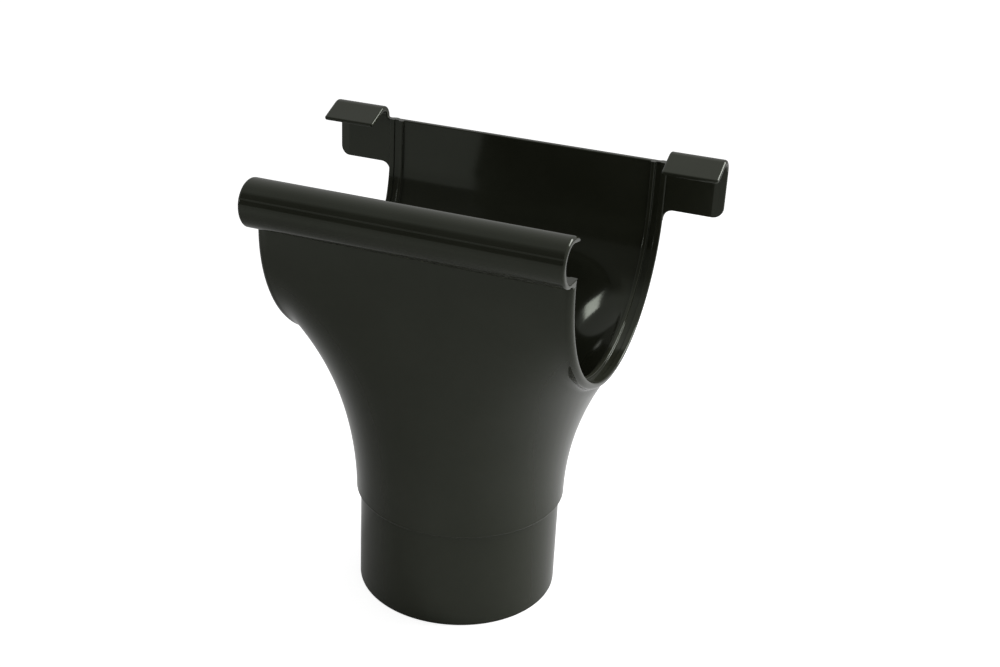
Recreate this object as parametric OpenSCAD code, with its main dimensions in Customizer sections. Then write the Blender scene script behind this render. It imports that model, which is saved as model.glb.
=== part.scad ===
// Outlet that hangs on a half-round gutter and leads its water into a round downpipe.
// It is one moulding: a half-round seat with a bead in front and two hooks behind,
// and below it a funnel that runs into a round spigot.
// +X runs along the gutter, +Y points to the wall, and the origin is the centre of the
// spigot's lower face.

/* [Spigot] */
// Outer radius of the spigot that enters the downpipe
spigot_r = 40; // [36:0.5:43]
// Length of the spigot up to the top of its step
spigot_len = 42; // [25:1:55]
// Width of the step between the spigot and the foot of the funnel
step_w = 1.7; // [1:0.1:3]
// Height over which the step widens
step_h = 1.2; // [0.6:0.1:2]
// Wall thickness of spigot, funnel, seat and hooks
wall = 2.4; // [1.8:0.1:3]

/* [Gutter seat] */
// Inner radius of the half-round seat, which hugs the gutter from outside
seat_r = 50.8; // [49:0.1:58]
// Height of the seat's axis above the lower face of the spigot
axis_z = 154.7; // [145:0.1:175]
// Length of the seat along the gutter
seat_len = 119; // [112:1:140]
// Height of the back wall above the seat's axis
back_rise = 16.9; // [10:0.1:20]

/* [Funnel] */
// Radius of the arc by which the funnel widens along the gutter
flare_r = 120; // [100:5:160]
// Length of seat that stands past the funnel's side at each end, outside
funnel_margin = 2.2; // [1:0.1:4]
// Length of seat kept inside at each end, beside the funnel's mouth
seat_strip = 7; // [6.8:0.1:9]
// Lean of the funnel's back away from the vertical
back_lean = 3.4; // [1:0.1:4]
// Squareness of the funnel's section at the seat's axis, where 2 is an ellipse
top_squareness = 6; // [4:0.5:10]

/* [Bead] */
// Outer radius of the bead that clips over the gutter's own bead
bead_r = 8.5; // [7:0.1:9]
// Wall thickness of the bead
bead_wall = 2; // [1.4:0.1:2.4]
// Distance of the bead's centre in front of the seat's outer face
bead_out = 3.1; // [2:0.1:4]
// Height of the bead's centre above the seat's axis
bead_rise = 12.6; // [9.5:0.1:14]
// Direction in which the bead's lip ends, above the horizontal
bead_lip_angle = 45; // [30:1:70]

/* [Hooks] */
// Length of each hook past the end of the seat
hook_len = 23.2; // [18:0.1:30]
// Length of plate left bare between the end of the seat and the hook's flange
hook_gap = 1.2; // [0.6:0.1:3]
// Height of the hook's lower edge below the top of the back wall
hook_drop = 18.8; // [15:0.1:24]
// Height of the hook's top above the back wall
hook_rise = 5.4; // [5:0.1:8]
// Outer radius of the bend between plate and flange
hook_bend_r = 5; // [4:0.1:5]
// Length of the flange in front of the bend
flange_len = 10.5; // [7:0.1:15]
// Thickness of the flange at its free edge, to which it tapers from the bend
flange_wall = 1.5; // [1.2:0.1:2.4]
// Slope of the flange down from the bend
flange_slope = 24; // [10:1:35]
// Radius of the rounded corners of the hook's plate
hook_corner_r = 3.8; // [2:0.1:6]

/* [End rims] */
// Width of the raised lip at each end of the seat, inside
lip_w = 2.3; // [1.6:0.1:2.6]
// Height of the raised lip
lip_h = 0.5; // [0.3:0.1:1]
// Width of the groove between lip and rib
groove_w = 2.5; // [1.5:0.1:2.6]
// Width of the rib that holds the water back from each end
rib_w = 1.6; // [0.8:0.1:1.6]
// Height of the rib
rib_h = 1.2; // [0.6:0.1:2]
// Rounding of the seat's outer edge at each end
edge_round = 1.4; // [0.6:0.1:1.6]

/* [Hidden] */

ring_points = 48;
ring_count = 16;
round_fn = 96;
small_fn = 48;
// How far a cut reaches past a face
past = 1;
// How far the bore's round end stays inside the funnel's faceted foot
facet_gap = 0.15;
// How far the funnel's front stands out from the seat at the seat's axis
front_proud = 0.6;
// How far below the seat's axis the funnel's mouth ends
mouth_drop = 4;
// How far the flange's faces start inside those of the bend
root_step = 0.1;
// Power by which the funnel's section turns from round to square on its way up
squareness_power = 4;

half_len = seat_len / 2;
seat_outer_r = seat_r + wall;
back_top = axis_z + back_rise;

// The funnel's foot is a circle that stands on the step
foot_z = spigot_len;
foot_r = spigot_r + step_w;
funnel_h = axis_z - foot_z;
// Height over which the sides follow their arc, until they lean out by 45 degrees
flare_h = flare_r * sin(45);
// Height below the step over which the spigot's bore widens to the funnel
bore_taper_h = 8;

bead_y = -(seat_outer_r + bead_out);
bead_z = axis_z + bead_rise;
shelf_z = bead_z - bead_r;

bend_y = seat_outer_r - hook_bend_r;
bend_z = back_top + hook_rise - hook_bend_r;
hook_bottom = back_top - hook_drop;

lip_x = half_len - lip_w;
groove_x = lip_x - groove_w;
rib_x = groove_x - rib_w;

// Lean of the funnel's sides at height z
function side_lean(z) = asin(min(z - foot_z, flare_h) / flare_r);

// Half size of the funnel at height z, one inset inside its outside, along the gutter
function side_w(z, inset) =
    foot_r + flare_r * (1 - cos(side_lean(z))) + max(z - foot_z - flare_h, 0)
    - inset / cos(side_lean(z));

// The same towards the back
function back_w(z, inset) =
    foot_r + (z - foot_z) * tan(back_lean) - inset / cos(back_lean);

// The same towards the front, which runs straight up to front_top at the seat's axis
function front_w(z, inset, front_top) =
    foot_r - inset + (front_top - foot_r + inset) * (z - foot_z) / funnel_h;

// Power of the superellipse at height z
function squareness(z) =
    2 + (top_squareness - 2) * pow((z - foot_z) / funnel_h, squareness_power);

// Power that keeps the sign
function signed_pow(v, e) = sign(v) * pow(abs(v), e);

// Level ring of the funnel at height z: a superellipse
function ring(z, inset, front_top) = [
    for (i = [0 : ring_points - 1])
        let (
            a = 360 * i / ring_points,
            e = 2 / squareness(z),
            width = side_w(z, inset),
            depth = sin(a) < 0 ? front_w(z, inset, front_top) : back_w(z, inset)
        )
        [width * signed_pow(cos(a), e), depth * signed_pow(sin(a), e), z]
];

// Solid through a stack of rings
module loft(rings) {
    n = len(rings[0]);
    top = (len(rings) - 1) * n;
    sides = [
        for (k = [0 : len(rings) - 2], i = [0 : n - 1])
            let (low = k * n, high = low + n, j = (i + 1) % n)
            each [[low + i, high + i, high + j], [low + i, high + j, low + j]]
    ];
    bottom_face = [for (i = [0 : n - 1]) i];
    top_face = [for (i = [n - 1 : -1 : 0]) top + i];
    polyhedron(
        points = [for (r = rings) each r],
        faces = concat([bottom_face], sides, [top_face]),
        convexity = 4
    );
}

// Funnel as a solid, from its foot up to height top_z, cut flat at each end
module funnel_solid(inset, front_top, end_x, top_z) {
    rise = top_z - foot_z;
    heights = [for (k = [0 : ring_count]) foot_z + rise * k / ring_count];
    intersection() {
        loft([for (z = heights) ring(z, inset, front_top)]);
        translate([-end_x, -axis_z, foot_z - past])
            cube([2 * end_x, 2 * axis_z, rise + 2 * past]);
    }
}

// Spigot with the step under the funnel's foot
module spigot_solid() {
    rotate_extrude($fn = round_fn)
        polygon([
            [0, 0],
            [spigot_r, 0],
            [spigot_r, foot_z - step_h],
            [foot_r - facet_gap, foot_z],
            [spigot_r, foot_z],
            [spigot_r, foot_z + past],
            [0, foot_z + past]
        ]);
}

// Bore of the spigot, which widens below the step to keep the wall even
module spigot_bore() {
    r = spigot_r - wall;
    top_r = foot_r - wall - facet_gap;
    rotate_extrude($fn = round_fn)
        polygon([
            [0, -past],
            [r, -past],
            [r, foot_z - bore_taper_h],
            [top_r, foot_z],
            [top_r, foot_z + past],
            [0, foot_z + past]
        ]);
}

// Turns a section, distance from the seat's axis by place along it, into a half round
module half_round() {
    translate([0, 0, axis_z])
        rotate([0, 90, 0])
            rotate([0, 0, -90])
                rotate_extrude(angle = 180, $fn = round_fn)
                    children();
}

// Draws the same section straight up from the seat's axis, behind it or in front of it
module straight_up(side, height) {
    translate([0, 0, axis_z])
        rotate([0, 0, side * 90])
            linear_extrude(height)
                children();
}

// Section of the seat's outside, with a rounded edge at each end
module seat_outline() {
    square_len = seat_len - 2 * edge_round;
    translate([0, -half_len])
        square([seat_outer_r - edge_round, seat_len]);
    translate([0, -square_len / 2])
        square([seat_outer_r, square_len]);
    for (side = [-1, 1])
        translate([seat_outer_r - edge_round, side * square_len / 2])
            circle(edge_round, $fn = small_fn);
}

// Section of the room inside the seat: near each end a rib, a groove and a lip
module room_outline() {
    end = half_len + past;
    polygon([
        [0, -end],
        [seat_r - lip_h, -end],
        [seat_r - lip_h, -lip_x],
        [seat_r, -lip_x],
        [seat_r, -groove_x],
        [seat_r - rib_h, -groove_x],
        [seat_r - rib_h, -rib_x],
        [seat_r, -rib_x],
        [seat_r, rib_x],
        [seat_r - rib_h, rib_x],
        [seat_r - rib_h, groove_x],
        [seat_r, groove_x],
        [seat_r, lip_x],
        [seat_r - lip_h, lip_x],
        [seat_r - lip_h, end],
        [0, end]
    ]);
}

// Seat, funnel and spigot, with the front wall up to the bead
module shell() {
    front_top_z = shelf_z + bead_wall / 2;
    difference() {
        union() {
            funnel_solid(0, seat_outer_r + front_proud, half_len - funnel_margin, front_top_z);
            half_round() seat_outline();
            straight_up(-1, front_top_z - axis_z) seat_outline();
            spigot_solid();
        }
        half_round() room_outline();
        for (side = [-1, 1])
            straight_up(side, back_rise + past) room_outline();
        funnel_solid(wall, seat_r, half_len - seat_strip, axis_z - mouth_drop);
        spigot_bore();
    }
}

// Section of the bead, seen along X: a ring open to the back, on a shelf
module bead_section() {
    reach = 2 * bead_r;
    lip_dir = [cos(bead_lip_angle), sin(bead_lip_angle)];
    translate([bead_y, bead_z])
        difference() {
            circle(bead_r, $fn = round_fn);
            circle(bead_r - bead_wall, $fn = round_fn);
            polygon([[0, 0], [0, -reach], [reach, -reach], [reach, 0], reach * lip_dir]);
        }
    translate([bead_y, shelf_z])
        square([-seat_r - bead_y, bead_wall]);
}

module bead() {
    translate([-half_len, 0, 0])
        rotate([90, 0, 90])
            linear_extrude(seat_len)
                bead_section();
}

// Outline of the back wall with a plate past each end, seen along Y
module back_outline() {
    r = hook_corner_r;
    end_x = half_len + hook_len;
    translate([-half_len, axis_z])
        square([seat_len, back_rise]);
    for (side = [0, 1])
        mirror([side, 0])
            difference() {
                union() {
                    translate([half_len, hook_bottom - r])
                        square([hook_len - r, back_top - hook_bottom + r]);
                    translate([half_len + hook_gap, hook_bottom + r])
                        square([hook_len - hook_gap, bend_z - hook_bottom - r]);
                    translate([end_x - r, hook_bottom + r])
                        circle(r, $fn = small_fn);
                }
                translate([half_len + r, hook_bottom - r])
                    circle(r, $fn = small_fn);
                translate([half_len + r, hook_bottom - 2 * r])
                    square([hook_len, 2 * r]);
            }
}

// Section of the hook's bend and flange, seen along X
module flange_section() {
    r = hook_bend_r;
    reach = 2 * r;
    mid = r - wall / 2;
    root = wall / 2 - root_step;
    translate([bend_y, bend_z]) {
        difference() {
            circle(r, $fn = small_fn);
            circle(r - wall, $fn = small_fn);
            polygon([
                [0, 0],
                reach * [-sin(flange_slope), cos(flange_slope)],
                [-reach, reach],
                [-reach, -reach],
                [reach, -reach],
                [reach, 0]
            ]);
        }
        rotate(flange_slope)
            polygon([
                [-flange_len, mid - flange_wall / 2],
                [0, mid - root],
                [wall / 4, mid],
                [0, mid + root],
                [-flange_len, mid + flange_wall / 2]
            ]);
    }
}

// Flange of the right hook, folded over forward from the top of its plate
module flange() {
    translate([half_len + hook_gap, 0, 0])
        rotate([90, 0, 90])
            linear_extrude(hook_len - hook_gap)
                flange_section();
}

// Back wall and hook plates, with the lip and the rib that run up the wall
module back() {
    translate([0, seat_outer_r, 0])
        rotate([90, 0, 0])
            linear_extrude(wall)
                back_outline();
    straight_up(1, back_rise)
        for (side = [0, 1])
            mirror([0, side]) {
                translate([seat_r - lip_h, lip_x])
                    square([lip_h + wall / 4, lip_w]);
                translate([seat_r - rib_h, rib_x])
                    square([rib_h + wall / 4, rib_w]);
            }
    flange();
    mirror([1, 0, 0])
        flange();
}

module outlet() {
    color([0.16, 0.16, 0.14])
        union() {
            shell();
            bead();
            back();
        }
}

outlet();
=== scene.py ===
"""Gutter outlet in dark glossy plastic, standing on its spigot on a white floor.

Lengths are in millimetres until a mesh is made, in the frame of the CAD model:
+X along the gutter, +Y to the wall, origin at the centre of the spigot's lower face.
"""
import math

import bmesh
import bpy
import numpy as np
from mathutils import Matrix

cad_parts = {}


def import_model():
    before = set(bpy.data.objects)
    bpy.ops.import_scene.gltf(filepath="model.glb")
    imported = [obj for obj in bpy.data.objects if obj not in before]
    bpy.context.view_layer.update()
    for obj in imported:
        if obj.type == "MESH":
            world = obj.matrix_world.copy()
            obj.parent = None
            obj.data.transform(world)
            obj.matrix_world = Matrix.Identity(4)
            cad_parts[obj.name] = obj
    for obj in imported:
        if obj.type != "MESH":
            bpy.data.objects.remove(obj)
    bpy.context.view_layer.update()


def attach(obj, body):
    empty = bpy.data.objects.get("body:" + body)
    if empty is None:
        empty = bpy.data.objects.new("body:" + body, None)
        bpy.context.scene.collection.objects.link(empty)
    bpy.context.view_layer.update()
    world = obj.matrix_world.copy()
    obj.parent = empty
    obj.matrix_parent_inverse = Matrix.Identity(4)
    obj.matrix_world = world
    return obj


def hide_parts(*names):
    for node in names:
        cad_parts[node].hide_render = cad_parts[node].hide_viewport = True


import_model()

MM = 0.001

# Sizes of the CAD model
SPIGOT_R = 40.0
FOOT_Z = 42.0
STEP_W = 1.7
WALL = 2.4
SEAT_R = 50.8
AXIS_Z = 154.7
HALF_LEN = 59.5
BACK_TOP = 171.6
FLARE_R = 120.0
TOP_SQUARENESS = 6.0
BACK_LEAN = math.radians(3.4)
FRONT_PROUD = 0.6
BEAD_R = 8.5
BEAD_Y = -56.3
BEAD_Z = 167.3
HOOK_END = 82.7
HOOK_BOTTOM = 152.8
HOOK_GAP = 1.2
HOOK_CORNER = 3.8
BEND_R = 5.0
BEND_Z = 172.0
FLANGE_LEN = 10.5
FLANGE_WALL = 1.5
FLANGE_SLOPE = 24.0
LIP_X = 57.2
GROOVE_X = 54.7
RIB_X = 53.1
LIP_H = 0.5
RIB_H = 1.2

SEAT_OUT = SEAT_R + WALL
FOOT_R = SPIGOT_R + STEP_W
FUNNEL_H = AXIS_Z - FOOT_Z

# Roundings that the CAD model leaves out, or makes smaller at the seat's ends: edges, the
# funnel's corners and its joins with the seat
END_ROUND = 2.2
END_INNER = 0.6
EDGE = 0.45
CORNER_OUT = 2.0
CORNER_IN = 1.2
JOIN_OUT = 1.6
JOIN_IN = 1.4

# Along X: the funnel's end outside, a little short of the CAD model's, and where the rims
# take over outside and inside
FUNNEL_X = 56.1
RIM_START = HALF_LEN - END_ROUND
INSIDE_X = RIB_X - 0.1

# Surfaces that would lie in one place are set apart or overlap by this
LAP = 0.02

# The bead's wall as it looks at its ends, thicker than the CAD model's, and the thinner
# shelf towards which it sags
BEAD_WALL = 2.5
SHELF_WALL = 1.6
SHELF_SAG = 0.8
SHELF_Z = BEAD_Z - BEAD_R - SHELF_SAG
SHELF_TOP = SHELF_Z + SHELF_WALL

# The bead's lip, and the parting line along its front: place and width in degrees, and height
LIP_TURN = 82.0
TIP_R = 0.5
SEAM_TURN = 157.9
SEAM_W = 1.3
SEAM_H = 0.09

# The hook's plate starts inside the seat's wall, and its flange ends at the tip
HOOK_ROOT_X = 57.0
HOOK_ROOT_Z = 148.0
HOOK_START = HALF_LEN + HOOK_GAP
BEND_MID = BEND_R - WALL / 2
BEND_LEN = BEND_MID * math.radians(90 + FLANGE_SLOPE)
HOOK_TIP = BEND_Z + BEND_LEN + FLANGE_LEN

# The plate of each hook falls back over its last stretch
THIN_W = 4.2
THIN_H = 1.0


class Mesh:
    """Collects points, their normals and faces, and makes an object of them."""

    def __init__(self):
        self.points = []
        self.normals = []
        self.faces = []

    def add_points(self, points, normals):
        start = len(self.points)
        self.points.extend(np.asarray(points, float).reshape(-1, 3).tolist())
        self.normals.extend(np.asarray(normals, float).reshape(-1, 3).tolist())
        return start

    def add_grid(self, points, normals, wrap=False):
        """A grid of quads over points[row, column], each face turned towards its normals."""
        rows, cols = points.shape[:2]
        start = self.add_points(points, normals)
        mid_r, mid_c = rows // 2, cols // 2
        a, b, c = points[mid_r, mid_c], points[mid_r, mid_c - 1], points[mid_r - 1, mid_c]
        same = np.dot(np.cross(b - a, c - a), normals[mid_r, mid_c]) > 0
        for r in range(rows - 1):
            for k in range(cols if wrap else cols - 1):
                n = (k + 1) % cols
                face = [start + r * cols + k, start + r * cols + n,
                        start + (r + 1) * cols + n, start + (r + 1) * cols + k]
                self.faces.append(face if same else face[::-1])

    def add_cap(self, points, normal):
        """One flat face through a closed row of points."""
        start = self.add_points(points, np.tile(normal, (len(points), 1)))
        area = np.cross(points, np.roll(points, -1, axis=0)).sum(axis=0)
        face = list(range(start, start + len(points)))
        self.faces.append(face if np.dot(area, normal) > 0 else face[::-1])

    def add_rings(self, points, normals, wrap=False):
        """A grid whose first and last rows are closed by caps."""
        points, normals = np.array(points), np.array(normals)
        self.add_grid(points, normals, wrap)
        self.add_cap(points[0], normals[0, 0])
        self.add_cap(points[-1], normals[-1, 0])

    def build(self, name):
        mesh = bpy.data.meshes.new(name)
        points = np.array(self.points) * MM
        mesh.from_pydata(points.tolist(), [], self.faces)
        normals = np.array(self.normals)
        normals /= np.linalg.norm(normals, axis=1)[:, None]
        mesh.polygons.foreach_set("use_smooth", [True] * len(mesh.polygons))
        mesh.normals_split_custom_set_from_vertices(normals.tolist())
        mesh.update()
        return linked(name, mesh)


def linked(name, data):
    """A new object in the scene."""
    obj = bpy.data.objects.new(name, data)
    bpy.context.scene.collection.objects.link(obj)
    return obj


# Flat outlines: rows of (a, b, normal a, normal b), the material on the left of the way

def arc(ca, cb, radius, start, end, steps, hollow=False):
    """Points on an arc in degrees; a hollow arc has its normals towards the centre."""
    t = np.radians(np.linspace(start, end, steps + 1))
    n = np.column_stack([np.cos(t), np.sin(t)])
    return np.hstack([[ca, cb] + radius * n, -n if hollow else n])


def rounded(corners, closed=True, steps=6):
    """An outline through corners (a, b, radius), each corner turned by an arc."""
    pts = np.array([c[:2] for c in corners], float)
    rows = []
    count = len(corners)
    for i, (p, corner) in enumerate(zip(pts, corners)):
        radius = corner[2]
        d_in = p - pts[i - 1]
        d_out = pts[(i + 1) % count] - p
        if not closed and i == 0:
            d_in = d_out
        if not closed and i == count - 1:
            d_out = d_in
        d_in, d_out = d_in / np.linalg.norm(d_in), d_out / np.linalg.norm(d_out)
        turn = math.atan2(d_in[0] * d_out[1] - d_in[1] * d_out[0], np.dot(d_in, d_out))
        n_in = np.array([d_in[1], -d_in[0]])
        if abs(turn) < 1e-6:
            rows.append([*p, *n_in])
            continue
        side = math.copysign(1, turn)
        start = p - d_in * radius * math.tan(abs(turn) / 2)
        centre = start - n_in * radius * side
        for t in np.linspace(0, turn, steps + 1):
            n = np.array([n_in[0] * math.cos(t) - n_in[1] * math.sin(t),
                          n_in[0] * math.sin(t) + n_in[1] * math.cos(t)])
            rows.append([*(centre + side * radius * n), *n])
    return np.array(rows)


def extrude(mesh, outline, low, high, place, edge=EDGE, steps=4, inward=None):
    """Draws a closed outline from low to high, with rounded edges and flat ends.

    place(a, b, h) gives the point; it must keep lengths. The edge's radius may change
    along the outline, and its points may move in along other directions than the normals."""
    edge = np.broadcast_to(edge, len(outline))
    inward = outline[:, 2:] if inward is None else inward
    rings = []
    for k in range(steps + 1):
        t = math.radians(90 * k / steps)
        rings.append((low + edge * (1 - math.cos(t)), edge * (1 - math.sin(t)), t - math.pi / 2))
    ends = [(low + high - h, inset, -lean) for h, inset, lean in rings[::-1]]
    points, normals = [], []
    for h, inset, lean in rings + ends:
        a = outline[:, 0] - inset * inward[:, 0]
        b = outline[:, 1] - inset * inward[:, 1]
        points.append(place(a, b, h))
        side = math.cos(lean) * outline[:, 2:] + (1 - math.cos(lean)) * inward
        origin = place(0 * a, 0 * a, 0 * a)
        flat = place(side[:, 0], side[:, 1], 0 * a) - origin
        up = place(0 * a, 0 * a, 0 * a + 1) - origin
        normals.append(math.cos(lean) * flat + math.sin(lean) * up)
    mesh.add_rings(points, normals, wrap=True)


def revolve(mesh, outline, segments):
    """Turns an outline (radius, height) round the spigot's axis."""
    t = np.linspace(0, 2 * math.pi, segments, endpoint=False)[:, None]
    r, z, nr, nz = outline.T
    points = np.stack([r * np.cos(t), r * np.sin(t), z + 0 * t], axis=-1)
    normals = np.stack([nr * np.cos(t), nr * np.sin(t), nz + 0 * t], axis=-1)
    mesh.add_grid(np.concatenate([points, points[:1]]), np.concatenate([normals, normals[:1]]))


def as_drawn(a, b, h):
    """Places an outline in X and Y, drawn out along Z."""
    return np.column_stack([a, b, h])


def along_x(a, b, h):
    """Places an outline in Y and Z, drawn out along X."""
    return np.column_stack([h, a, b])


# Funnel and seat as fields: negative inside, about the distance to the surface

def squareness(z):
    """Power of the funnel's section: 2 is round, and higher is nearer to a rectangle."""
    u = np.clip((z - FOOT_Z) / FUNNEL_H, 0, None)
    return 2 + (TOP_SQUARENESS - 2) * u ** 4


def funnel_radius(direction, z, inset, front_top):
    """Distance of the funnel's wall from its axis, in one direction at height z."""
    h = np.clip(z - FOOT_Z, 0, None)
    # the sides flare on an arc up to 45 degrees and go on straight
    steepest = math.sin(math.pi / 4)
    lean = np.arcsin(np.clip(h / FLARE_R, 0, steepest))
    side = FOOT_R + FLARE_R * (1 - np.cos(lean))
    side = side + np.clip(h - FLARE_R * steepest, 0, None) - inset / np.cos(lean)
    back = FOOT_R + h * math.tan(BACK_LEAN) - inset / math.cos(BACK_LEAN)
    front = FOOT_R - inset + (front_top - FOOT_R + inset) * h / FUNNEL_H
    # front and back pass smoothly into each other at the sides
    c, s = np.cos(direction), np.sin(direction)
    share = np.clip(0.5 + s * 2.5, 0, 1)
    share = share * share * (3 - 2 * share)
    depth = front + (back - front) * share
    n = squareness(z)
    return (np.abs(c / side) ** n + np.abs(s / depth) ** n) ** (-1 / n)


def join(a, b, size):
    """The nearer of two fields, with a smooth fillet where they meet."""
    h = np.clip(size - np.abs(a - b), 0, None) / size
    return np.minimum(a, b) - h * h * size / 4


def meet(a, b, size):
    """The farther of two fields, with a rounded edge where they meet."""
    return -join(-a, -b, size)


def seat_field(p, radius):
    """A half round below the seat's axis, with upright walls above it."""
    x, y, z = p[..., 0], p[..., 1], p[..., 2]
    low = np.hypot(y, z - AXIS_Z) - radius
    return np.where(z < AXIS_Z, low, np.abs(y) - radius)


def body_field(p, inset, front_top, end_x, corner, radius, fillet):
    """The funnel between its end planes, joined to the seat."""
    x, y, z = p[..., 0], p[..., 1], p[..., 2]
    funnel = np.hypot(x, y) - funnel_radius(np.arctan2(y, x), z, inset, front_top)
    # measured level, the way to a leaning wall is longer than the distance
    to_distance = 0.93
    funnel = meet(funnel * to_distance, np.abs(x) - end_x, corner)
    return join(funnel, seat_field(p, radius), fillet)


def gradient(field, p):
    step = 0.01
    parts = []
    for axis in range(3):
        d = np.zeros(3)
        d[axis] = step
        parts.append((field(p + d) - field(p - d)) / (2 * step))
    return np.stack(parts, axis=-1)


def settle(field, p, rounds=14, most=1.2):
    """Moves points along the field's slope until they lie on its surface."""
    for _ in range(rounds):
        g = gradient(field, p)
        move = (field(p) / np.maximum((g * g).sum(-1), 0.05))[..., None] * g
        length = np.linalg.norm(move, axis=-1, keepdims=True)
        p = p - move * np.minimum(1, most / np.maximum(length, 1e-9))
    return p


def half_loop(sign, end_x, radius, top_z, spacing):
    """From the seat's lowest line up one end, then along the top edge to the middle."""
    arc_n = int(math.pi / 2 * radius / spacing)
    rise = int((top_z - AXIS_Z) / spacing)
    run = int(end_x / spacing)
    turns = [math.pi / 2 * k / arc_n for k in range(arc_n + 1)]
    rows = [(end_x, sign * radius * math.sin(t), AXIS_Z - radius * math.cos(t)) for t in turns]
    for k in range(1, rise + 1):
        rows.append((end_x, sign * radius, AXIS_Z + (top_z - AXIS_Z) * k / rise))
    rows += [(end_x * (1 - k / run), sign * radius, top_z) for k in range(1, run + 1)]
    return np.array(rows)


def foot_angles(part, sign):
    """Directions in which a half loop's columns leave the foot, from 0 to a quarter turn."""
    way = np.concatenate([[0], np.cumsum(np.linalg.norm(np.diff(part, axis=0), axis=1))])
    plan = np.arctan2(np.abs(part[:, 1]), part[:, 0])
    even = way / way[-1] * math.pi / 2
    return sign * (0.35 * even + 0.65 * plan)


def top_loop(end_x, radius, front_z, back_z, spacing):
    """Closed loop round the seat, up both ends and along its front and back edges.

    Gives its points and the direction in which each column leaves the funnel's foot."""
    front = half_loop(-1, end_x, radius, front_z, spacing)
    back = half_loop(1, end_x, radius, back_z, spacing)
    right = np.concatenate([front[::-1], back[1:]])
    turn = np.concatenate([foot_angles(front, -1)[::-1], foot_angles(back, 1)[1:]])
    left = right[::-1][1:-1] * [-1, 1, 1]
    turn_left = math.pi - turn[::-1][1:-1]
    return np.concatenate([right, left]), np.concatenate([turn, turn_left])


def skin(mesh, inset, front_top, end_x, corner, radius, fillet, loop_x, front_z, back_z,
         spacing, outward):
    """One side of the funnel and seat, from the funnel's foot up to a loop round the seat."""
    loop, foot_turn = top_loop(loop_x, radius, front_z, back_z, spacing)

    def field(p):
        return body_field(p, inset, front_top, end_x, corner, radius, fillet)

    plan = np.arctan2(loop[:, 1], loop[:, 0])
    plan = np.where(plan < -math.pi / 2 - 1e-9, plan + 2 * math.pi, plan)
    foot_turn = np.where(foot_turn > 1.5 * math.pi, foot_turn - 2 * math.pi, foot_turn)
    loop_r = np.hypot(loop[:, 0], loop[:, 1])
    # rows stand closer at the top, where the funnel joins the seat
    share = np.concatenate([np.linspace(0, 0.86, 46)[:-1], np.linspace(0.86, 1, 44)])
    rows = []
    for u in share:
        z = FOOT_Z + (loop[:, 2] - FOOT_Z) * u
        turn = foot_turn + (plan - foot_turn) * min(1, u / 0.8) ** 1.5
        near = max(0, (u - 0.8) / 0.2) ** 2
        limit = end_x / np.maximum(np.abs(np.cos(turn)), 1e-6)
        r = np.minimum(funnel_radius(turn, z, inset, front_top), limit)
        r = r + (loop_r - r) * near
        rows.append(np.column_stack([r * np.cos(turn), r * np.sin(turn), z]))
    guide = np.array(rows)
    points = settle(field, guide)
    # the lowest row is a true circle, which meets the spigot
    points[0] = guide[0]
    foot = FOOT_R - inset
    points[0, :, :2] *= (foot / np.hypot(points[0, :, 0], points[0, :, 1]))[:, None]
    normals = gradient(field, points)
    normals /= np.linalg.norm(normals, axis=-1, keepdims=True)
    mesh.add_grid(points, normals if outward else -normals, wrap=True)


def rim_path(front_z, back_z):
    """Stations along the seat's section: base point, direction to the wall, direction of travel."""
    stations = []
    for z in np.linspace(front_z, AXIS_Z, 4)[:-1]:
        stations.append(((0, z), (-1, 0), (0, -1)))
    for t in np.radians(np.linspace(0, 180, 181)):
        stations.append(((0, AXIS_Z), (-math.cos(t), -math.sin(t)), (math.sin(t), -math.cos(t))))
    for z in np.linspace(AXIS_Z, back_z, 8)[1:]:
        stations.append(((0, z), (1, 0), (0, 1)))
    return stations


def rim(mesh, side, section, front_z, back_z, edge=0.3, steps=3):
    """Sweeps the section (place along X, distance from the axis) round the seat."""
    stations = rim_path(front_z - edge, back_z - edge)
    rows = [(s, 0.0, 0.0, 0.0) for s in stations]
    # both ends of the way are rounded by rows that move in and on
    for k in range(1, steps + 1):
        t = math.pi / 2 * k / steps
        inset, ahead = edge * (1 - math.cos(t)), edge * math.sin(t)
        rows.insert(0, (stations[0], inset, -ahead, -t))
        rows.append((stations[-1], inset, ahead, t))
    points, normals = [], []
    for (base, wall, way), inset, ahead, lean in rows:
        x = section[:, 0] - inset * section[:, 2]
        r = section[:, 1] - inset * section[:, 3]
        y = base[0] + r * wall[0] + ahead * way[0]
        z = base[1] + r * wall[1] + ahead * way[1]
        points.append(np.column_stack([side * x, y, z]))
        c, s = math.cos(lean), math.sin(lean)
        ny = c * section[:, 3] * wall[0] + s * way[0]
        nz = c * section[:, 3] * wall[1] + s * way[1]
        normals.append(np.column_stack([side * c * section[:, 2], ny, nz]))
    mesh.add_rings(points, normals)


def sag(rows, radius, amount):
    """Stretches the lower half of a round outline downwards."""
    depth = np.clip((BEAD_Z - rows[:, 1]) / radius, 0, 1)
    rows[:, 1] -= amount * depth ** 2
    rows[:, 3] /= 1 + 2 * amount * depth / radius
    rows[:, 2:] /= np.linalg.norm(rows[:, 2:], axis=1)[:, None]


def raise_seam(rows, turns):
    """Raises the parting line on the bead's circle, whose points stand at these degrees."""
    bump = SEAM_H * np.exp(-((turns - SEAM_TURN) / SEAM_W) ** 2)
    slope = bump * -2 * (turns - SEAM_TURN) / SEAM_W ** 2 * 180 / math.pi / BEAD_R
    across = np.column_stack([-rows[:, 3], rows[:, 2]])
    normal = rows[:, 2:] - slope[:, None] * across
    rows[:, :2] += bump[:, None] * rows[:, 2:]
    rows[:, 2:] = normal / np.linalg.norm(normal, axis=1)[:, None]


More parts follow.
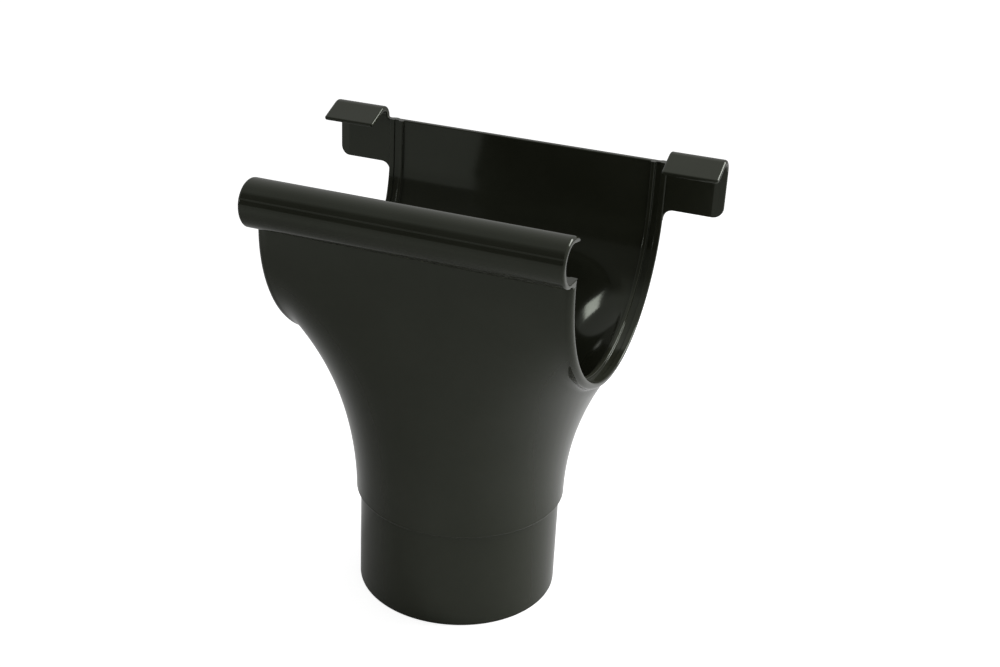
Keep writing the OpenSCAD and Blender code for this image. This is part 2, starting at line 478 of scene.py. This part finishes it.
def bead_outline():
    """Section of the bead and its shelf, seen along X, as (y, z).

    Gives the outline, the radius of its end roundings and the directions in which they move in."""
    # the inner side leaves its circle at the lip and runs straight to the rounded tip
    inner_r = BEAD_R - BEAD_WALL
    c, s = math.cos(math.radians(LIP_TURN)), math.sin(math.radians(LIP_TURN))
    run = math.sqrt((BEAD_R - TIP_R) ** 2 - (inner_r + TIP_R) ** 2)
    tip_y, tip_z = (inner_r + TIP_R) * c + run * s, (inner_r + TIP_R) * s - run * c
    tip_turn = math.degrees(math.atan2(tip_z, tip_y))
    tip = arc(BEAD_Y + tip_y, BEAD_Z + tip_z, TIP_R, LIP_TURN - 180, tip_turn, 12)[:-1]
    inner = arc(BEAD_Y, BEAD_Z, inner_r, 270, LIP_TURN, 90, hollow=True)
    sag(inner, inner_r, SHELF_SAG + BEAD_WALL - SHELF_WALL)

    # the outer side has more points where the parting line is
    seam_turns = SEAM_TURN + np.linspace(-4, 4, 33)
    turns = np.unique(np.concatenate([np.linspace(tip_turn, 270, 100), seam_turns]))
    flat = np.column_stack([np.cos(np.radians(turns)), np.sin(np.radians(turns))])
    top = np.hstack([[BEAD_Y, BEAD_Z] + BEAD_R * flat, flat])
    raise_seam(top, turns)
    sag(top, BEAD_R, SHELF_SAG)

    # the shelf runs into the seat's front wall, and its outline closes inside that wall
    wall_y, fillet, turn, buried_z = -54.1, 0.9, 1.0, 157.0
    under = arc(wall_y - fillet, SHELF_Z - fillet, fillet, 90, 0, 6, hollow=True)
    buried = np.array([[wall_y + 1, buried_z, 0, -1], [wall_y + 2.2, buried_z, 0, -1]])
    corner = arc(-SEAT_R - turn, SHELF_TOP - turn, turn, 0, 90, 6)
    outline = np.concatenate([top, under, buried, corner, inner, tip])

    # the ends are rounded more outside than inside, and less where the wall is thin
    share_out, share_in, tip_end = 0.52, 0.24, 0.4
    depth = np.clip((BEAD_Z - outline[:, 1]) / BEAD_R, 0, 1)
    thickness = BEAD_WALL - (BEAD_WALL - SHELF_WALL) * depth
    ends = share_in * thickness
    ends[-len(tip):] = tip_end
    from_tip = np.clip((turns - tip_turn) / 40 + 0.3, 0, 1)
    ends[:len(top)] = share_out * thickness[:len(top)] * from_tip
    inward = outline[:, 2:].copy()
    inward[:len(top)] = flat
    return outline, ends, inward


def hook_plate():
    """One hook as it is before it's bent, at (x, length s along the plate, depth h).

    Gives a bmesh that is cut across where the plate bends, and its layer of normals."""
    flat = Mesh()
    outline = rounded([
        (HOOK_ROOT_X, HOOK_ROOT_Z, 0.3),
        (HALF_LEN - LAP, HOOK_ROOT_Z, 0.3),
        (HALF_LEN - LAP, HOOK_BOTTOM, HOOK_CORNER),
        (HOOK_END, HOOK_BOTTOM, HOOK_CORNER),
        (HOOK_END, BEND_Z - 1, 0),
        (HOOK_END, BEND_Z + 3, 0),
        (HOOK_END, BEND_Z + BEND_LEN, 0),
        (HOOK_END, HOOK_TIP, 1.2),
        (HOOK_START, HOOK_TIP, 1.0),
        (HOOK_START, BACK_TOP - LAP, 0.7),
        (HOOK_ROOT_X, BACK_TOP - LAP, 0.3),
    ], steps=8)
    edges = np.interp(outline[:, 1], [BEND_Z - 1, BEND_Z + 3, HOOK_TIP], [EDGE, 1.1, 0.9])
    extrude(flat, outline, -WALL / 2, WALL / 2, as_drawn, edges, 8)
    bm = bmesh.new()
    layer = bm.verts.layers.float_vector.new("n")
    verts = []
    for p, n in zip(flat.points, flat.normals):
        v = bm.verts.new(p)
        v[layer] = n
        verts.append(v)
    for face in flat.faces:
        bm.faces.new([verts[i] for i in face])
    # across the round wall and the bend, and a few over the plate for even shading
    cuts = [(0, s) for s in np.linspace(HOOK_ROOT_Z + 0.5, AXIS_Z, 7)]
    cuts += [(0, s) for s in np.linspace(BEND_Z, BEND_Z + BEND_LEN, 22)]
    cuts += [(HOOK_END - THIN_W + d, 0) for d in (-0.1, 0.1)]
    cuts += [(x, 0) for x in np.linspace(HOOK_START + 1, HOOK_END - THIN_W - 1, 6)]
    cuts += [(0, s) for s in np.linspace(AXIS_Z + 2.5, BEND_Z - 1.5, 6)]
    for x, s in cuts:
        bmesh.ops.bisect_plane(bm, geom=bm.verts[:] + bm.edges[:] + bm.faces[:], dist=1e-5,
                               plane_co=(x, s, 0), plane_no=(x > 0, s > 0, 0))
    bm.verts.index_update()
    return bm, layer


def bend(x, s, h, n):
    """Takes a point of the flat plate and its normal n to their places on the right hook."""
    thin = min(max((x - HOOK_END + THIN_W) / THIN_W, 0), 1)
    if h < 0 and s < BEND_Z and thin > 0:
        # the plate's front falls back towards its outer end
        h += THIN_H * thin
        n[0] += THIN_H / THIN_W * abs(n[2])
    centre_r = SEAT_R + WALL / 2
    if s < AXIS_Z:
        # below the seat's axis the plate follows the round wall, and its back sinks into it
        t = (AXIS_Z - s) / centre_r
        along = (math.sin(t), math.cos(t))
        out = (math.cos(t), -math.sin(t))
        fade = min(max((HOOK_BOTTOM - 0.5 - s) / 4.3, 0), 1)
        h = h if h < 0 else h * (1 - 1.3 * fade)
        y, z = centre_r * out[0], AXIS_Z + centre_r * out[1]
    elif s < BEND_Z:
        along, out = (0, 1), (1, 0)
        y, z = centre_r, s
    else:
        # over the bend, and on along the flange, which thins to its free edge
        t = min((s - BEND_Z) / BEND_MID, BEND_LEN / BEND_MID)
        along = (-math.sin(t), math.cos(t))
        out = (math.cos(t), math.sin(t))
        rest = max(s - BEND_Z - BEND_LEN, 0)
        h = h * (1 - (WALL - FLANGE_WALL) / WALL * rest / FLANGE_LEN)
        y = SEAT_OUT - BEND_R + BEND_MID * out[0] + rest * along[0]
        z = BEND_Z + BEND_MID * out[1] + rest * along[1]
    out_h = h + LAP / 2
    point = (x, y + out_h * out[0], z + out_h * out[1])
    normal = (n[0], n[1] * along[0] + n[2] * out[0], n[1] * along[1] + n[2] * out[1])
    return point, normal


def hook(mesh, side):
    """Plate, bend and flange of one hook; side is 1 for the right one and -1 for the left."""
    bm, layer = hook_plate()
    bent = np.array([bend(*v.co, v[layer].copy()) for v in bm.verts]) * [side, 1, 1]
    start = mesh.add_points(bent[:, 0], bent[:, 1])
    for face in bm.faces:
        ids = [start + v.index for v in face.verts]
        mesh.faces.append(ids if side < 0 else ids[::-1])
    bm.free()


# The outside and the inside, from the funnel's foot to just inside the shelf, rims and back edge

outside = Mesh()
skin(outside, inset=0, front_top=SEAT_OUT + FRONT_PROUD, end_x=FUNNEL_X, corner=CORNER_OUT,
     radius=SEAT_OUT, fillet=JOIN_OUT, loop_x=RIM_START, front_z=SHELF_Z + 0.3,
     back_z=BACK_TOP - 0.5, spacing=1.15, outward=True)

inside = Mesh()
skin(inside, inset=WALL, front_top=SEAT_R, end_x=INSIDE_X - JOIN_IN, corner=CORNER_IN,
     radius=SEAT_R, fillet=JOIN_IN, loop_x=INSIDE_X, front_z=SHELF_TOP - 0.5,
     back_z=BACK_TOP - 0.5, spacing=1.3, outward=False)

# Spigot, rims, hooks, bead and back edge

trim = Mesh()
spigot_outline = rounded([
    (FOOT_R - 0.3, FOOT_Z + 1.2, 0),
    (FOOT_R + LAP, FOOT_Z + 0.1, 0.2),
    (FOOT_R + LAP, FOOT_Z - 0.9, 0.8),
    (SPIGOT_R, FOOT_Z - 1.2, 0.25),
    (SPIGOT_R, 0, 0.6),
    (SPIGOT_R - WALL, 0, 0.5),
    (SPIGOT_R - WALL, FOOT_Z - 8, 6),
    (FOOT_R - WALL, FOOT_Z, 0),
][::-1], closed=False, steps=6)
revolve(trim, spigot_outline, 240)

rim_section = rounded([
    (RIM_START - 0.5, SEAT_OUT - LAP / 2, 0),
    (HALF_LEN, SEAT_OUT, END_ROUND),
    (HALF_LEN, SEAT_R - LIP_H, END_INNER),
    (LIP_X, SEAT_R - LIP_H, 0.2),
    (LIP_X, SEAT_R, 0.2),
    (GROOVE_X, SEAT_R, 0.3),
    (GROOVE_X, SEAT_R - RIB_H, 0.4),
    (RIB_X, SEAT_R - RIB_H, 0.4),
    (RIB_X, SEAT_R, 0.3),
    (RIB_X - 0.7, SEAT_R + LAP, 0),
][::-1], closed=False, steps=5)
rim_section[:, 2:] *= -1
for end in (-1, 1):
    rim(trim, end, rim_section, SHELF_TOP - LAP, BACK_TOP - LAP)
    hook(trim, end)

bead_section, bead_ends, bead_inward = bead_outline()
bead_half = HALF_LEN + 0.2
extrude(trim, bead_section, -bead_half, bead_half, along_x, bead_ends, 12, bead_inward)

top_section = rounded([
    (SEAT_R - LAP / 2, BACK_TOP - 0.9, 0),
    (SEAT_R - LAP / 2, BACK_TOP, 0.5),
    (SEAT_OUT + LAP / 2, BACK_TOP, 0.5),
    (SEAT_OUT + LAP / 2, BACK_TOP - 0.9, 0),
][::-1], closed=False, steps=5)
a, b, na, nb = top_section.T
edge_half = HALF_LEN - 0.2
edge_rows = np.array([along_x(a, b, np.full(len(a), x)) for x in (-edge_half, edge_half)])
trim.add_grid(edge_rows, np.array([along_x(na, nb, 0 * a)] * 2))

pieces = [
    outside.build("outlet_outside"),
    inside.build("outlet_inside"),
    trim.build("outlet_edges"),
]


# Materials

def set_inputs(tree, node, inputs):
    """Sets inputs by name or number, each to a value or from another node's output."""
    for key, value in inputs.items():
        if isinstance(value, bpy.types.NodeSocket):
            tree.links.new(value, node.inputs[key])
        else:
            node.inputs[key].default_value = value


def add_node(tree, kind, inputs=None, operation=None):
    """A new shader node with its inputs and, where it has one, its operation."""
    node = tree.nodes.new("ShaderNode" + kind)
    if operation:
        node.operation = operation
    set_inputs(tree, node, inputs or {})
    return node


def math_node(tree, operation, first, second):
    return add_node(tree, "Math", {0: first, 1: second}, operation).outputs["Value"]


def ramp(tree, value, low, high, start, end):
    """Goes from start to end while the value goes from low to high, and stays level outside."""
    limits = {"From Min": low, "From Max": high, "To Min": start, "To Max": end}
    return add_node(tree, "MapRange", {"Value": value, **limits}).outputs["Result"]


def plastic():
    """Dark glossy plastic with slight clouds in its colour and gloss, and faint waves."""
    mat = bpy.data.materials.new("moulded_plastic")
    mat.use_nodes = True
    tree = mat.node_tree
    place = add_node(tree, "TexCoord").outputs["Object"]
    cloud = add_node(tree, "TexNoise", {"Vector": place, "Scale": 35, "Detail": 3}).outputs["Fac"]
    tint = add_node(tree, "ValToRGB", {"Fac": cloud})
    dark, light = tint.color_ramp.elements
    dark.position, light.position = 0.35, 0.7
    dark.color = (0.0250, 0.0265, 0.0175, 1)
    light.color = (0.0300, 0.0318, 0.0220, 1)
    wave = add_node(tree, "TexNoise", {"Vector": place, "Scale": 60, "Detail": 1}).outputs["Fac"]
    bump = add_node(tree, "Bump", {"Height": wave, "Strength": 0.12, "Distance": 0.0002})
    set_inputs(tree, tree.nodes["Principled BSDF"], {
        "Base Color": tint.outputs["Color"],
        "Roughness": ramp(tree, cloud, 0, 1, 0.08, 0.12),
        "IOR": 1.45,
        "Specular Tint": (0.92, 1.0, 0.86, 1),
        "Normal": bump.outputs["Normal"],
    })
    return mat


mat = plastic()
for piece in pieces:
    piece.data.materials.append(mat)
    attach(piece, "root")
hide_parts("outlet")


# Floor, world, lamps and camera, in metres

def floor():
    """White to the camera, and pale for the light that it throws on the object; its colour holds a
    painted pool of light, and in front it has a painted glow that only reflections see.
    """
    size = 3.0
    mesh = bpy.data.meshes.new("floor")
    corners = [(-size, -size, 0), (size, -size, 0), (size, size, 0), (-size, size, 0)]
    mesh.from_pydata(corners, [], [(0, 1, 2, 3)])
    obj = linked("floor", mesh)
    mat = bpy.data.materials.new("white_floor")
    mat.use_nodes = True
    tree = mat.node_tree
    place = add_node(tree, "TexCoord").outputs["Object"]
    # painted pool of light: the floor's colour dims away from a spot at the object's right
    painted_light_spot = (0.20, 0.05, 0.0)
    away = add_node(tree, "VectorMath", {0: place, 1: painted_light_spot}, "DISTANCE").outputs["Value"]
    # with its own light it is white to the camera
    path = add_node(tree, "LightPath").outputs
    seen = math_node(tree, "MAXIMUM", path["Is Camera Ray"], path["Is Transmission Ray"])
    glow = math_node(tree, "MULTIPLY", seen, 0.8)
    # painted reflection: the floor in front glows for glossy rays only, from a little way off, so
    # glossy surfaces see it as lit
    across = add_node(tree, "SeparateXYZ", {"Vector": place}).outputs["Y"]
    front = ramp(tree, across, -0.13, -0.33, 0, 0.13)
    painted_reflection_glow = math_node(tree, "MULTIPLY", path["Is Glossy Ray"], front)
    set_inputs(tree, tree.nodes["Principled BSDF"], {
        # painted pool of light in the floor's colour, lightest near the spot
        "Base Color": ramp(tree, away, 0.12, 0.42, 0.88, 0.56),
        "Roughness": 0.9,
        "Specular IOR Level": 0.1,
        "Emission Color": (1, 1, 1, 1),
        # white glow for the camera, and the painted reflection glow for glossy rays
        "Emission Strength": math_node(tree, "MAXIMUM", glow, painted_reflection_glow),
    })
    mesh.materials.append(mat)


def world():
    """White to the camera; for reflections a plain room."""
    studio = bpy.data.worlds.new("studio")
    bpy.context.scene.world = studio
    studio.use_nodes = True
    tree = studio.node_tree
    place = add_node(tree, "TexCoord").outputs["Generated"]
    split = add_node(tree, "SeparateXYZ", {"Vector": place}).outputs
    depth, height = split["Y"], split["Z"]
    # the room is dim in front of the object, lighter overhead and lightest high up behind it
    sides = ramp(tree, depth, -0.60, -0.42, 0.06, 0.42)
    overhead = ramp(tree, height, 0.68, 0.95, 0.06, 0.42)
    high_up = ramp(tree, height, 0.1, 0.7, 0, 0.18)
    behind = math_node(tree, "MULTIPLY", high_up, ramp(tree, depth, -0.1, 0.4, 0.35, 1))
    room = math_node(tree, "ADD", math_node(tree, "MAXIMUM", sides, overhead), behind)
    path = add_node(tree, "LightPath").outputs
    seen = math_node(tree, "MAXIMUM", path["Is Camera Ray"], path["Is Transmission Ray"])
    set_inputs(tree, tree.nodes["Background"], {
        "Color": (1, 1, 1, 1),
        "Strength": math_node(tree, "MAXIMUM", seen, room),
    })


def set_place(obj, right, up, back, place):
    """Puts a lamp or camera at a place in metres; it looks against its back direction."""
    rows = [[right[i], up[i], back[i], place[i]] for i in range(3)]
    obj.matrix_world = Matrix(rows + [[0, 0, 0, 1]])


def lamp(name, place, target, size, power):
    data = bpy.data.lights.new(name, "AREA")
    data.shape = "RECTANGLE"
    data.size, data.size_y = size
    data.energy = power
    back = np.array(place, float) - np.array(target, float)
    back /= np.linalg.norm(back)
    right = np.cross([0, 0, 1], back)
    right /= np.linalg.norm(right)
    set_place(linked(name, data), right, np.cross(back, right), back, place)


def camera():
    """Stands where the photograph was taken from, as fitted to the object's edges."""
    azimuth, height, roll = math.radians(21.4310), math.radians(24.1528), math.radians(2.9147)
    distance, shift_x, shift_y = 525.339, 12.8205, -2.4892
    focal_px, image_width, sensor = 1366.467, 1000, 36
    target = np.array([0, 0, 110.0])
    level = math.cos(height)
    back = np.array([math.sin(azimuth) * level, -math.cos(azimuth) * level, math.sin(height)])
    right = np.cross(-back, [0, 0, 1])
    right /= np.linalg.norm(right)
    up = np.cross(right, -back)
    c, s = math.cos(roll), math.sin(roll)
    right, up = c * right + s * up, -s * right + c * up
    data = bpy.data.cameras.new("camera")
    data.sensor_width = sensor
    data.lens = sensor * focal_px / image_width
    data.clip_start = 0.01
    obj = linked("camera", data)
    place = target + back * distance + right * shift_x + up * shift_y
    set_place(obj, right, up, back, place * MM)
    bpy.context.scene.camera = obj


floor()
world()
lamp("key_light", (0.42, 0.30, 0.42), (0.16, 0.02, 0), (0.3, 0.3), 2.3)
lamp("left_light", (-0.73, -0.44, 0.25), (0, 0, 0.12), (0.18, 0.10), 0.45)
camera()

bpy.context.scene.view_settings.view_transform = "Standard"
